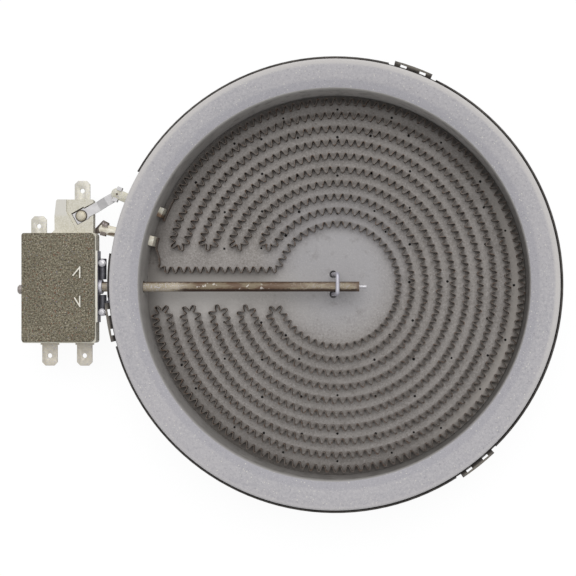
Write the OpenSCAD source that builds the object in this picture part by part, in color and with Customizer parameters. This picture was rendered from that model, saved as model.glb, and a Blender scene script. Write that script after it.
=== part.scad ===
// Radiant surface element with rod-type temperature limiter, in millimetres.
// X runs away from the limiter, Y up the dish as seen from above, Z up through the heater.
// The origin is the centre of the pan's underside.

/* [Pan] */
// outside diameter of the sheet pan
pan_d = 180; // [176:1:184]
// height of the pan's rim
pan_h = 27; // [26:0.5:28]
// thickness of the pan's sheet
sheet_t = 0.6; // [0.5:0.1:0.8]
// outer radius of the pan's bottom corner
corner_r = 3; // [2.5:0.5:4]
// diameter of the stiffening bead in the bottom
bead_d = 96; // [80:2:120]
// width of the stiffening bead
bead_w = 8; // [6:1:12]
// height of the stiffening bead
bead_h = 0.8; // [0.5:0.1:1.2]
// height of the rim left standing where the leads pass out
lead_gap_z = 15; // [14:0.5:17]

/* [Lugs] */
// width of a fixing lug along the rim
lug_w = 15.4; // [14:0.2:17]
// radius of the lug's outward curl
lug_curl = 2.4; // [2.2:0.1:2.8]
// width of the notch beside a lug
lug_notch = 2.2; // [1.5:0.1:3]
// length of a slot in a lug
slot_l = 2.6; // [2:0.1:3.2]
// width of a slot in a lug
slot_w = 1.3; // [1:0.1:1.4]
// distance between the two slots of a lug
slot_pitch = 8; // [7:0.2:9]

/* [Insulation] */
// thickness of the pressed base
base_t = 12; // [11:0.5:13]
// width of the rim ring
ring_w = 12.2; // [11:0.2:13]
// height of the ring above the pan's rim
ring_rise = 4; // [3:0.5:5]
// how far the ring's upper part stands back from the pan's rim
ring_back = 0.8; // [0.5:0.1:1.2]
// radius of the ring's outer shoulder
ring_round = 1.2; // [0.8:0.1:1.8]
// chamfer at the ring's inner edge
ring_chamfer = 0.8; // [0.4:0.1:1.2]
// clearance between the insulation and the pan
fit = 0.1; // [0.05:0.05:0.2]

/* [Heating ribbon] */
// distance between neighbouring turns
turn_pitch = 5.55; // [5.4:0.05:5.6]
// height of the ribbon
ribbon_h = 3; // [2.5:0.5:5]
// thickness of the ribbon
ribbon_t = 0.2; // [0.15:0.05:0.3]
// width of the corrugation across the ribbon
wave_h = 3; // [2.4:0.1:3.1]
// length of one corrugation
wave_l = 4; // [3.9:0.1:5]
// gap between the ribbon and the ring
ribbon_gap = 0.85; // [0.6:0.05:1.2]
// distance of the upper return bends from the middle
upper_gap = 15.2; // [14.5:0.1:16]
// distance of the lower return bends from the middle
lower_gap = 9; // [8:0.1:10]
// distance of the return run from the middle
run_y = 6.34; // [6:0.05:7]

/* [Leads] */
// width of a lead strip
lead_w = 4; // [3.6:0.1:4.2]
// thickness of a lead strip
lead_t = 0.8; // [0.6:0.1:0.8]
// height of the underside of the leads
lead_z = 20; // [20:0.1:20.2]
// angle of the upper lead
upper_lead_a = 157.3; // [157:0.1:157.8]
// angle of the lower lead
lower_lead_a = 166.4; // [166:0.1:166.8]
// radius of the upper lead's round end
upper_eye_r = 2.45; // [2.3:0.05:2.6]

/* [Sensor] */
// outside diameter of the sensor tube
tube_d = 4; // [3.8:0.1:4.2]
// bore of the sensor tube
tube_bore = 2.9; // [2.6:0.1:3]
// height of the tube's axis
tube_z = 20.5; // [20.4:0.1:20.7]
// sideways position of the tube's axis
tube_y = -0.63; // [-0.8:0.01:-0.5]
// how far the tube reaches past the centre
tube_end = 9.9; // [8:0.1:12]
// how far the rod's tip stands out of the tube
tip_l = 2.9; // [2:0.1:4]
// diameter of the expansion rod
rod_d = 2.2; // [2:0.1:2.4]
// wire of the staple that holds the tube down
staple_wire = 1.6; // [1.4:0.1:1.8]
// lean of the staple
staple_lean = 12; // [10:0.5:13]

/* [Limiter body] */
// length of the limiter body along the rod
body_l = 29.9; // [29.6:0.1:30.4]
// width of the limiter body
body_w = 44; // [43.8:0.1:44.4]
// height of the limiter body
body_h = 12; // [11.8:0.1:12.2]
// height of the body's underside above the pan's underside
body_z = 12; // [11.8:0.1:12.2]
// wall of the limiter body
body_wall = 2; // [1.8:0.1:2.2]
// gap between the limiter body and the pan
body_gap = 5.2; // [5.1:0.1:5.5]
// thickness of the cover
cover_t = 0.8; // [0.6:0.1:1.2]
// corner radius of the cover
cover_r = 2; // [1:0.5:3]

/* [Terminals] */
// width of a tab, for 6.3 mm sleeves
tab_w = 6.3; // [6.2:0.1:6.4]
// thickness of a tab
tab_t = 0.8; // [0.7:0.1:0.9]
// hole in a tab
tab_hole = 1.9; // [1.6:0.1:2.2]
// distance of that hole from the tab's end
tab_hole_set = 4.1; // [3.8:0.1:4.5]
// thickness of the straps to the leads
strap_t = 0.8; // [0.6:0.1:0.8]
// width of the upper strap
strap_w = 3.8; // [3.4:0.1:4]

/* [Hidden] */
$fn = 96;
eps = 0.01;
pan_r = pan_d / 2;
pan_in = pan_r - sheet_t;
base_top = sheet_t + base_t;
ring_out = pan_in - fit;
ring_in = ring_out - ring_w;
ring_top = pan_h + ring_rise;
ring_top_out = ring_out - ring_back;
lug_angles = [69.7, -51.2, 189.5];
lug_half = asin(lug_w / 2 / pan_r);
notch_a = asin(lug_notch / pan_r);
lug_z = pan_h - lug_curl - sheet_t;
r1 = ring_in - ribbon_gap - wave_h / 2;
turns = 10;
lead_in_r = r1 + ribbon_t / 2;
hole_play = 0.2;
tube_r = tube_d / 2;
staple_r = staple_wire / 2;
staple_x = -0.9;
staple_y1 = 4.5;
staple_y0 = tube_y - tube_r - staple_r - 0.2;
staple_hole_r = 1.55;
staple_bend_r = staple_r + 0.7;
staple_hole_depth = 2.6;

body_x1 = -(pan_r + body_gap);
body_x0 = body_x1 - body_l;
body_y0 = -23.2;
body_y1 = body_y0 + body_w;
body_top = body_z + body_h;
body_step = body_z + 6.4;
step_in = 2;
cavity_x0 = body_x0 + body_wall;
cavity_x1 = body_x1 - step_in - body_wall + 0.4;
cavity_y0 = body_y0 + body_wall;
cavity_y1 = body_y1 - body_wall;
floor_z = body_z + 2;
tab_z = floor_z;
tab_top = tab_z + tab_t;

block_top = 20;
block_x1 = body_x1 - 2.3;
recess_z = 19.2;
pocket_z = lead_z - strap_t - 1;
strap_rivet_x = body_x1 - 7.2;
strap_rivet_y = body_y1 + 7.2;

tab_tl_x = body_x0 + 4.1;
tab_tr_x = body_x1 - 7.9;
tab_bl_x = body_x0 + 8.6;
tab_br_x = body_x1 - 7;
tongue_w = 4;
tab_tl_end = body_y1 + 7.5;
tab_tr_end = body_y1 + 21.8;
tab_low_end = body_y0 - 9.5;
tab_low_root = body_y0 + 9.8;
tongue_tl_x = body_x0 + 5.2;
shoulder_w = 7.6;

plate_t = 0.6;
plate_x1 = body_x1 + plate_t;
ear_r = 1.4;
ear_z = tube_z + 0.5;
ear_x = plate_x1 + 1.55;
ear_near = 0.15;
bracket_rivet_y = [-10.9, 8.8];
band_top = lug_z - 0.8;
// the band reaches below the tube's hole where too little sheet is left above it
band_low = band_top - tube_z - tube_r > 0.5 ? band_top - 4.4 : tube_z - tube_r - 1.2;
link_low = min(ear_z - 0.6, band_top - 1);
link_top = min(max(ear_z, band_low) + 0.6, band_top);
collar_r = 2.9;
collar_l = 1.4;
clip_t = 0.6;

blade_t = 0.3;
power_x = body_x1 - 7.9;
signal_x = body_x0 + 7.7;
blade_y1 = 9.4;
blade_y0 = body_y0 + 5.2;
low_rivet_y = blade_y0 + 0.5;
blade_z0 = 17;
blade_z1 = 22.4;
pin_y = tube_y;
arm_power_x = power_x + 1.9;
arm_signal_x = signal_x - 2.2;
arm_t = 0.8;
arm_y0 = 5.4;
arm_y1 = 9.4;
top_rivet_y = (arm_y1 + cavity_y1) / 2 + 0.4;

// a ring sector with a rectangular section
module sector(r0, r1, a0, a1, z0, z1) {
    rotate([0, 0, a0])
    rotate_extrude(angle = a1 - a0)
    translate([r0, z0])
    square([r1 - r0, z1 - z0]);
}

// a box given by its two corners
module box(x0, x1, y0, y1, z0, z1) {
    translate([x0, y0, z0])
    cube([x1 - x0, y1 - y0, z1 - z0]);
}

// half of the pan's section, filled, drawn inside the sheet by t
module pan_section(t, top) {
    r = pan_r - t;
    c = corner_r - t;
    translate([0, t])
    square([r - c, top - t]);
    translate([r - 2 * c, t + c])
    square([2 * c, top - t - c]);
    translate([r - c, t + c])
    circle(r = c);
}

// the section of a lug: a root inside the wall, then a curl outwards
lug_in = 0.1;
lug_proud = 0.12;
lug_root = 0.7;
module lug_section() {
    translate([pan_r + lug_curl, lug_z])
    intersection() {
        difference() {
            circle(r = lug_curl + sheet_t - lug_in);
            circle(r = lug_curl - lug_proud);
        }
        translate([-lug_curl - sheet_t, 0])
        square([lug_curl + sheet_t, lug_curl + sheet_t]);
    }
    translate([pan_in + lug_in, lug_z - lug_root])
    square([sheet_t - lug_in + lug_proud, lug_root]);
}

module pan() {
    bead_in = bead_d / 2 - bead_w / 2;
    color("dimgray")
    difference() {
        union() {
            difference() {
                rotate_extrude()
                difference() {
                    union() {
                        difference() {
                            pan_section(0, pan_h);
                            pan_section(sheet_t, pan_h + 1);
                        }
                        translate([bead_in - sheet_t, 0])
                        square([bead_w + 2 * sheet_t, bead_h + sheet_t]);
                    }
                    translate([bead_in, -1])
                    square([bead_w, 1 + bead_h]);
                }
                for (a = lug_angles)
                sector(pan_in - 1, pan_r + 1, a - lug_half - notch_a,
                       a + lug_half + notch_a, lug_z, pan_h + 1);
            }
            for (a = lug_angles)
            rotate([0, 0, a - lug_half])
            rotate_extrude(angle = 2 * lug_half)
            lug_section();
        }
        sector(pan_in - 1, pan_r + 1, 150, 172, lead_gap_z, pan_h + 1);
        translate([-pan_r - 1, tube_y, tube_z])
        rotate([0, 90, 0])
        cylinder(d = tube_d + 4 * hole_play, h = 3);
        for (a = lug_angles, side = [-1, 1])
        rotate([0, 0, a])
        translate([pan_r + 0.3, side * slot_pitch / 2 - slot_l / 2, lug_z + 0.2])
        cube([slot_w, slot_l, lug_curl + sheet_t + 1]);
    }
}

module base_insulation() {
    c = corner_r - sheet_t;
    groove = bead_w + 2 * sheet_t + 2 * fit;
    color("darkgray")
    difference() {
        rotate_extrude()
        difference() {
            translate([0, sheet_t])
            square([ring_out, base_t]);
            translate([ring_out - c, sheet_t - 1])
            difference() {
                square([c + 1, c + 1]);
                translate([0, c + 1])
                circle(r = c);
            }
            translate([bead_d / 2 - groove / 2, 0])
            square([groove, sheet_t + bead_h + fit]);
        }
        for (y = [staple_y0, staple_y1])
        translate([staple_x, y, base_top - staple_hole_depth])
        cylinder(r = staple_hole_r, h = staple_hole_depth + 1);
    }
}

module insulation_ring() {
    color("silver")
    difference() {
        rotate_extrude()
        difference() {
            translate([ring_in, base_top])
            square([ring_w, ring_top - base_top]);
            translate([ring_top_out, pan_h - 3])
            square([ring_back + 1, ring_rise + 4]);
            translate([ring_top_out - ring_round, ring_top - ring_round])
            difference() {
                square([ring_round + 1, ring_round + 1]);
                circle(r = ring_round);
            }
            polygon([[ring_in - 1, ring_top - ring_chamfer - 1],
                     [ring_in + ring_chamfer + 1, ring_top + 1],
                     [ring_in - 1, ring_top + 1]]);
        }
        for (a = [upper_lead_a, lower_lead_a])
        rotate([0, 0, a])
        box(ring_in - 1, ring_out + 1, -lead_w / 2 - hole_play,
            lead_w / 2 + hole_play, lead_z, lead_z + lead_t + hole_play);
        translate([-ring_out - 1, tube_y, tube_z])
        rotate([0, 90, 0])
        cylinder(d = tube_d + 2 * hole_play, h = ring_w + 3);
    }
}

// The ribbon's centre line as a list of pieces, each an arc
// [centre x, centre y, radius, start angle, end angle].
bend_r = turn_pitch / 2;
function turn_r(k) = r1 - (k - 1) * turn_pitch;
function mid_r(k) = turn_r(k) - bend_r;
function upper_a(k) = 180 - asin((upper_gap + bend_r) / mid_r(k));
function lower_a(k) = asin((lower_gap + bend_r) / mid_r(k)) - 180;
function start_a(k) = k == 1 ? 152.5 : k % 2 == 1 ? upper_a(k - 1) : lower_a(k - 1);
join_r = 2.8;
join_a = 180 - asin((run_y + join_r) / (turn_r(turns) + join_r));
join_c = (turn_r(turns) + join_r) * [cos(join_a), sin(join_a)];
function end_a(k) = k == turns ? join_a : k % 2 == 1 ? lower_a(k) : upper_a(k);
function bend(k) = let (a = k % 2 == 1 ? lower_a(k) : upper_a(k))
    k % 2 == 1
    ? [mid_r(k) * cos(a), mid_r(k) * sin(a), bend_r, a, a - 180]
    : [mid_r(k) * cos(a), mid_r(k) * sin(a), bend_r, a, a + 180];
function turn(k) = [0, 0, turn_r(k), start_a(k), end_a(k)];
arcs = [for (k = [1 : turns], part = [0, 1])
        if (part == 0 || k < turns) part == 0 ? turn(k) : bend(k)];
function arc_l(c) = abs(c[4] - c[3]) * PI / 180 * c[2];
turn_r2 = 3;
run_x0 = join_c[0];
run_x1 = -r1 + 5.85;
run_l = run_x0 - run_x1;
tail = [join_c[0], join_c[1], join_r, join_a + 180, 270];
hook = [run_x1, run_y + turn_r2, turn_r2, 270, 180];

// pieces with the length at which each begins; a line is kept as [] between the two fillets
pieces = concat(arcs, [tail], [[]], [hook]);
function piece_l(p) = len(p) == 0 ? run_l : arc_l(p);
function starts(i = 0, s = 0) = i == len(pieces) ? [s]
    : concat([s], starts(i + 1, s + piece_l(pieces[i])));
begin = starts();
total = begin[len(pieces)];
function find(s, i = 0) = i + 1 >= len(pieces) || s < begin[i + 1] ? i : find(s, i + 1);

// point and sideways direction at a length s along the centre line
function at(s) = let (i = find(s), p = pieces[i], d = s - begin[i])
    len(p) == 0
    ? [run_x0 - d, run_y, 0, -1]
    : let (way = p[4] > p[3] ? 1 : -1, a = p[3] + way * d / p[2] * 180 / PI)
      [p[0] + p[2] * cos(a), p[1] + p[2] * sin(a), -way * cos(a), -way * sin(a)];

waves = 2 * floor(total / wave_l / 2);
step_l = total / waves / 2;
mitre = ribbon_t / 2 / cos(atan(wave_h / step_l));
function rib(i, side) = let (p = at(i * step_l),
    o = (i % 2 == 0 ? -1 : 1) * wave_h / 2 + side * mitre)
    [p[0] + o * p[2], p[1] + o * p[3]];

// flat ends, welded to the leads
function polar(r, a) = r * [cos(a), sin(a)];
low_t = [sin(lower_lead_a), -cos(lower_lead_a)];
low_c = polar(r1, lower_lead_a);
function head(side) = [for (a = [159.5, 157, 155, 153.4])
    polar(r1 + side * ribbon_t / 2, a)];
function tail_pts(side) = [
    [run_x1 - turn_r2 - side * ribbon_t / 2, run_y + turn_r2 + 1.6],
    low_c - 2.6 * low_t + side * ribbon_t / 2 * polar(1, lower_lead_a),
    low_c + 1.9 * low_t + side * ribbon_t / 2 * polar(1, lower_lead_a)];
steps = 2 * waves;
function edge(side) = concat(head(side), [for (i = [1 : steps - 1]) rib(i, side)],
                             tail_pts(side));
function flip(list) = [for (i = [len(list) - 1 : -1 : 0]) list[i]];

module heating_ribbon() {
    color("saddlebrown")
    translate([0, 0, base_top])
    linear_extrude(ribbon_h)
    polygon(concat(edge(-1), flip(edge(1))));
}

// a lead: radial strip, round outer end and a flange turned down to the ribbon
module lead(a, eye_at, eye_r) {
    rotate([0, 0, a]) {
        box(lead_in_r, eye_at, -lead_w / 2, lead_w / 2, lead_z, lead_z + lead_t);
        translate([eye_at, 0, lead_z])
        cylinder(r = eye_r, h = lead_t);
        box(lead_in_r, lead_in_r + 0.6, -lead_w / 2, lead_w / 2,
            base_top + 0.4, lead_z + lead_t);
    }
}

upper_eye_at = pan_r + 4.8;
lower_eye_at = pan_r + 5.6;

module lead_in_upper() {
    color("tan")
    lead(upper_lead_a, upper_eye_at, upper_eye_r);
}

module lead_in_lower() {
    color("tan")
    lead(lower_lead_a, lower_eye_at, lead_w / 2);
}

tube_start = body_x1 - 1.8;

module sensor_tube() {
    color("burlywood")
    translate([tube_start, tube_y, tube_z])
    rotate([0, 90, 0])
    difference() {
        cylinder(d = tube_d, h = tube_end - tube_start);
        translate([0, 0, -1])
        cylinder(d = tube_bore, h = tube_end - tube_start + 2);
    }
}

rod_start = body_x1 - 3.7;

module expansion_rod() {
    color("lightgray")
    translate([rod_start, tube_y, tube_z])
    rotate([0, 90, 0]) {
        cylinder(d = rod_d, h = tube_end - rod_start);
        cylinder(d = 1.4, h = tube_end - rod_start + tip_l);
    }
}

// one rounded corner of the staple, in its own plane
module staple_bend(x, y, turn) {
    translate([x, y, 0])
    rotate([0, 0, turn])
    rotate_extrude(angle = 90)
    translate([staple_bend_r, 0])
    circle(r = staple_r);
}

module rod_staple() {
    foot = base_top - staple_hole_depth + 0.4;
    top = tube_z + tube_r + staple_r + 0.05;
    leg = (top - foot) / cos(staple_lean);
    color("gainsboro")
    translate([staple_x - (base_top - foot) * tan(staple_lean), 0, foot])
    rotate([0, staple_lean, 0])
    rotate([90, 0, 90]) {
        for (y = [staple_y0, staple_y1])
        translate([y, 0, 0])
        rotate([-90, 0, 0])
        cylinder(r = staple_r, h = leg - staple_bend_r);
        staple_bend(staple_y0 + staple_bend_r, leg - staple_bend_r, 90);
        staple_bend(staple_y1 - staple_bend_r, leg - staple_bend_r, 0);
        translate([staple_y0 + staple_bend_r, leg, 0])
        rotate([0, 90, 0])
        cylinder(r = staple_r, h = staple_y1 - staple_y0 - 2 * staple_bend_r);
    }
}

module tube_collar() {
    color("lavender")
    translate([plate_x1, tube_y, tube_z])
    rotate([0, 90, 0])
    difference() {
        cylinder(r = collar_r, h = collar_l);
        translate([0, 0, -1])
        cylinder(d = tube_d + 0.1, h = collar_l + 2);
    }
}

// a rectangle with its own radius at the left and the right corners
module round_plate(x0, x1, y0, y1, rl, rr) {
    translate([x0 + rl, y0])
    square([x1 - x0 - rl - rr, y1 - y0]);
    translate([x0, y0 + rl])
    square([rl + eps, y1 - y0 - 2 * rl]);
    translate([x1 - rr - eps, y0 + rr])
    square([rr + eps, y1 - y0 - 2 * rr]);
    for (y = [y0 + rl, y1 - rl])
    translate([x0 + rl, y])
    circle(r = rl);
    for (y = [y0 + rr, y1 - rr])
    translate([x1 - rr, y])
    circle(r = rr);
}

strap_from = [strap_rivet_x, strap_rivet_y];
strap_to = polar(upper_eye_at - 0.3, upper_lead_a);
strap_v = strap_to - strap_from;
strap_a = atan2(strap_v[1], strap_v[0]);
strap_l = norm(strap_v);

// the pocket under the upper strap, a little larger than the strap on its upper side
module strap_pocket() {
    translate([strap_rivet_x, strap_rivet_y, pocket_z])
    rotate([0, 0, strap_a]) {
        box(-3.1, 2.6, -2.5, 2.8, 0, 3);
        box(0, 12, -strap_w / 2 - 0.2, strap_w / 2 + 0.4, 0, 3);
    }
}

module limiter_body() {
    color("wheat")
    difference() {
        union() {
            translate([0, 0, body_z])
            linear_extrude(body_h)
            round_plate(body_x0, body_x1, body_y0, body_y1, 1, 1.2);
            translate([0, 0, body_z])
            linear_extrude(block_top - body_z)
            polygon([[body_x0 + 10.6, body_y1 - 1], [body_x0 + 10.9, body_y1 + 0.3],
                     [body_x0 + 12.1, body_y1 + 1.5], [body_x0 + 12, body_y1 + 7],
                     [body_x0 + 12.7, body_y1 + 13.3], [body_x0 + 13.2, body_y1 + 13.8],
                     [block_x1 - 0.5, body_y1 + 13.8], [block_x1, body_y1 + 13.3],
                     [block_x1, body_y1 - 1]]);
        }
        // undercut of the right-hand faces
        box(body_x1 - step_in, body_x1 + 1, body_y0 - 1, body_y1 + 1,
            body_z - 1, body_step);
        box(block_x1 - 1.2, block_x1 + 1, body_y1 - eps, body_y1 + 20,
            body_z - 1, body_z + 3.8);
        // chamber
        box(cavity_x0, cavity_x1, cavity_y0, cavity_y1, floor_z, body_top + 1);
        // shallow step in the upper block, right of its ridge
        translate([0, 0, recess_z])
        linear_extrude(2)
        polygon([[body_x0 + 16.8, body_y1 + 15], [body_x0 + 16.8, body_y1 + 9],
                 [body_x0 + 21.7, body_y1], [block_x1 + 1, body_y1],
                 [block_x1 + 1, body_y1 + 15]]);
        strap_pocket();
        // rivet through the block and the upper right tab
        translate([strap_rivet_x, strap_rivet_y, body_z - 1])
        cylinder(d = 2.6, h = 10);
        translate([strap_rivet_x, strap_rivet_y, body_z - 1])
        cylinder(d = 4.4, h = 2.2);
        // ways for the four tabs
        box(tab_tl_x - tab_w / 2 - fit, tab_tl_x + tab_w / 2 + fit,
            body_y1 - 0.6, body_y1 + 1, tab_z, tab_top + fit);
        box(tongue_tl_x - tongue_w / 2 - fit, tongue_tl_x + tongue_w / 2 + fit,
            cavity_y1 - 1, body_y1, tab_z, tab_top + fit);
        box(tab_tr_x - tab_w / 2 - fit, tab_tr_x + tab_w / 2 + fit,
            cavity_y1 - 1, body_y1 + 20, tab_z, tab_top + fit);
        for (x = [tab_bl_x, tab_br_x])
        box(x - tab_w / 2 - fit, x + tab_w / 2 + fit,
            body_y0 - 1, cavity_y0 + 1, tab_z, tab_top + fit);
        // rivets that hold the tabs to the floor
        for (p = tab_rivet_at)
        translate([p[0], p[1], body_z - 1])
        cylinder(d = 2.2, h = 4);
        // tube, rod and calibration screw
        translate([tube_start, tube_y, tube_z])
        rotate([0, 90, 0])
        cylinder(d = tube_d + 0.2, h = 5);
        translate([cavity_x1 - 1, tube_y, tube_z])
        rotate([0, 90, 0])
        cylinder(d = rod_d + 0.8, h = 5);
        translate([body_x0 - 1, screw_y, screw_z])
        rotate([0, 90, 0])
        cylinder(d = 3.2, h = body_wall + 2);
        // seat of the bracket's tongue and way of the lower strap
        box(cavity_x1 - 1, body_x1 + 1, -9.4, 8.2, body_top - plate_t - 0.1, body_top + 1);
        box(block_x1 - 3.2, block_x1 + 1, body_y1 + 0.1, body_y1 + 2.5,
            15.1, 15.1 + strap_t + 0.2);
    }
}

module limiter_cover() {
    color("olive")
    difference() {
        translate([0, 0, body_top])
        linear_extrude(cover_t)
        round_plate(body_x0, body_x1 - 0.4, body_y0 + 0.5, body_y1, 1, cover_r);
        for (y = [[-9, -4.1], [2.6, 7.6]])
        box(lug_x - 0.1, lug_x + 0.6, y[0], y[1], body_top - 1, body_top + cover_t + 1);
    }
}

lug_x = body_x1 - 6.4;

module limiter_bracket() {
    ear_ends = [[-12.2, -3.9], [2.3, 10.6]];
    color("slategray")
    difference() {
        union() {
            // upright plate against the body
            box(body_x1, plate_x1, -14.9, 13.7, body_step + 0.1, body_top);
            // tongue under the cover, with two lugs turned up through it
            box(lug_x, plate_x1, -9.2, 8, body_top - plate_t, body_top);
            for (y = [[-8.8, -4.3], [2.8, 7.4]])
            box(lug_x, lug_x + 0.5, y[0], y[1], body_top - plate_t,
                body_top + cover_t + 0.7);
            translate([lug_x + 0.45, 7.3, body_top + cover_t + 0.1])
            rotate([0, 0, 230])
            translate([0, -0.25, 0])
            cube([4.7, 0.5, 0.6]);
            translate([lug_x + 0.45, -8.7, body_top + cover_t + 0.1])
            rotate([0, 0, 123])
            translate([0, -0.25, 0])
            cube([4.4, 0.5, 0.6]);
            // rolled ears either side of the tube
            for (y = ear_ends)
            {
                translate([ear_x, y[0], ear_z])
                rotate([-90, 0, 0])
                cylinder(r = ear_r, h = y[1] - y[0]);
                box(plate_x1 - 0.1, ear_x, y[0], y[1], ear_z - ear_r, ear_z - ear_r + 0.5);
            }
            // band against the pan and the link to it
            sector(pan_r, pan_r + 0.8, 172.2, 185.4, band_low, band_top);
            box(ear_x, -pan_r * cos(5), -7.8, -6.2, link_low, link_top);
        }
        for (y = ear_ends)
        translate([ear_x, y[0] - 1, ear_z])
        rotate([-90, 0, 0])
        cylinder(r = ear_r - 0.5, h = y[1] - y[0] + 2);
        // flats under the two rivets
        for (y = bracket_rivet_y)
        translate([ear_x, y, ear_z + ear_r - ear_near])
        cylinder(r = 1.55, h = 1);
        translate([body_x1 - 1, tube_y, tube_z])
        rotate([0, 90, 0])
        cylinder(d = tube_d + 0.2, h = body_gap + 3);
        translate([0, 0, 10])
        cylinder(r = pan_r, h = 15);
    }
}

module bracket_rivets() {
    color("gainsboro")
    for (y = bracket_rivet_y)
    translate([ear_x, y, ear_z + ear_r - ear_near]) {
        cylinder(r = 1.5, h = 0.7);
        translate([0, 0, 0.7])
        cylinder(r = 1.1, h = 0.3);
    }
}

// outline of a tab that points along +Y, its end at y1 and its tongue inwards to y0
module tab(x, y1, root, y0, tongue_x) {
    difference() {
        union() {
            linear_extrude(tab_t)
            polygon([[x - tab_w / 2, root], [x + tab_w / 2, root],
                     [x + tab_w / 2, y1 - 1.4], [x + tab_w / 2 - 1.4, y1],
                     [x - tab_w / 2 + 1.4, y1], [x - tab_w / 2, y1 - 1.4]]);
            box(tongue_x - tongue_w / 2, tongue_x + tongue_w / 2, y0, root + eps, 0, tab_t);
        }
        translate([x, y1 - tab_hole_set, -1])
        cylinder(d = tab_hole, h = tab_t + 2);
    }
}

foot_l = 3.6;
rivet_in = blade_t + 1.7;
tab_rivet_at = [[tongue_tl_x, top_rivet_y], [signal_x + rivet_in, low_rivet_y],
                [power_x + rivet_in, low_rivet_y]];

module tab_top_left() {
    color("beige")
    translate([0, 0, tab_z])
    difference() {
        union() {
            tab(tab_tl_x, tab_tl_end, body_y1 - 0.6, arm_y0, tongue_tl_x);
            box(arm_signal_x - arm_t, arm_signal_x, arm_y0, arm_y1, 0, 8);
            box(arm_signal_x - arm_t, arm_signal_x, arm_y0 - 9, arm_y1, 3.2, 8);
        }
        translate([tongue_tl_x, top_rivet_y, -1])
        cylinder(d = 2.2, h = 4);
    }
}

module tab_top_right() {
    color("beige")
    translate([0, 0, tab_z])
    difference() {
        union() {
            tab(tab_tr_x, tab_tr_end, cavity_y1 + 0.4, arm_y0, tab_tr_x);
            box(tab_tr_x, arm_power_x + arm_t, arm_y0, arm_y1, 0, tab_t);
            box(arm_power_x, arm_power_x + arm_t, arm_y0, arm_y1, 0, 8);
        }
        translate([strap_rivet_x, strap_rivet_y, -1])
        cylinder(d = 2.6, h = 4);
    }
}

// the two lower tabs have shoulders outside the body
module low_tab(x, rivet_x) {
    difference() {
        union() {
            mirror([0, 1, 0])
            tab(x, -tab_low_end, -tab_low_root, -tab_low_root - 0.4, x);
            box(x - shoulder_w / 2, x + shoulder_w / 2, body_y0 - 1, body_y0, 0, tab_t);
        }
        translate([rivet_x, low_rivet_y, -1])
        cylinder(d = 2.2, h = 4);
    }
}

module tab_bottom_left() {
    color("beige")
    translate([0, 0, tab_z])
    low_tab(tab_bl_x, signal_x + rivet_in);
}

module tab_bottom_right() {
    color("beige")
    translate([0, 0, tab_z])
    low_tab(tab_br_x, power_x + rivet_in);
}

module tab_rivets() {
    color("gainsboro")
    for (i = [0 : 2])
    translate([tab_rivet_at[i][0], tab_rivet_at[i][1], 0]) {
        grip = i == 0 ? tab_top : tab_top + blade_t;
        translate([0, 0, body_z])
        cylinder(d = 2, h = grip - body_z);
        translate([0, 0, grip])
        cylinder(d = 3, h = 0.6);
    }
}

module strap_rivet() {
    color("gainsboro")
    translate([strap_rivet_x, strap_rivet_y, 0]) {
        translate([0, 0, body_z + 0.4])
        cylinder(d = 4, h = 0.8);
        translate([0, 0, body_z + 0.8])
        cylinder(d = 2.4, h = pocket_z + strap_t - body_z - 0.8);
        translate([0, 0, pocket_z + strap_t])
        cylinder(d = 4.2, h = 0.4);
        translate([0, 0, pocket_z + strap_t])
        cylinder(d = 3.4, h = 0.7);
    }
}

// a clasp folded round a lead, lead axis along X
module clasp(x0, x1, half, low_lip) {
    rotate([90, 0, 90])
    translate([0, 0, x0])
    linear_extrude(x1 - x0)
    difference() {
        translate([-half - clip_t, lead_z - clip_t])
        square([2 * half + 2 * clip_t, lead_t + 2 * clip_t]);
        translate([-half, lead_z])
        square([2 * half, lead_t]);
        translate([-half + low_lip, lead_z])
        square([2 * half - 2 * low_lip, lead_t + clip_t + 1]);
    }
}

module upper_strap() {
    color("silver")
    difference() {
        union() {
            translate([strap_rivet_x, strap_rivet_y, 0])
            rotate([0, 0, strap_a]) {
                box(-2.9, 2.4, -2.3, 2.3, pocket_z, pocket_z + strap_t);
                rotate([90, 0, 0])
                translate([0, 0, -strap_w / 2])
                linear_extrude(strap_w)
                polygon([[0, pocket_z], [8.2, pocket_z], [12, lead_z - strap_t],
                         [strap_l + 0.6, lead_z - strap_t], [strap_l + 0.6, lead_z],
                         [11.8, lead_z], [8, pocket_z + strap_t], [0, pocket_z + strap_t]]);
            }
            rotate([0, 0, upper_lead_a])
            clasp(upper_eye_at - 1.2, upper_eye_at + 0.8, upper_eye_r + 0.05, 0.9);
        }
        translate([strap_rivet_x, strap_rivet_y, pocket_z - 1])
        cylinder(d = 2.4, h = 3);
    }
}

lower_clasp_at = pan_r + 4.2;
join_x = -(pan_r + 1.9);
join_y = 20.8;

// from the block's side at the left to the lower lead's clasp at the right
module lower_strap() {
    way_z = 15.1;
    inner_x = block_x1 - 3;
    color("silver")
    union() {
        intersection() {
            translate([0, max(body_y1, join_y) + 7.2, 0])
            rotate([90, 0, 0])
            linear_extrude(abs(body_y1 - join_y) + 20)
            polygon([[inner_x, way_z], [block_x1 + 0.6, way_z],
                     [join_x - 1.2, lead_z - strap_t], [join_x + 1, lead_z - strap_t],
                     [join_x + 1, lead_z], [join_x - 1.6, lead_z],
                     [block_x1 + 0.2, way_z + strap_t], [inner_x, way_z + strap_t]]);
            translate([0, 0, 10])
            linear_extrude(12)
            polygon([[block_x1 - 4, body_y1 + 0.2], [body_x1 + 0.5, body_y1 + 0.2],
                     [join_x, join_y + 0.2], [join_x + 1.4, join_y + 4],
                     [join_x - 1.2, max(join_y, body_y1) + 5.4],
                     [block_x1, body_y1 + 2.4], [block_x1 - 4, body_y1 + 2.4]]);
        }
        rotate([0, 0, lower_lead_a])
        clasp(lower_clasp_at, lower_clasp_at + 2.2, lead_w / 2 + 0.05, 1);
    }
}

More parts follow.
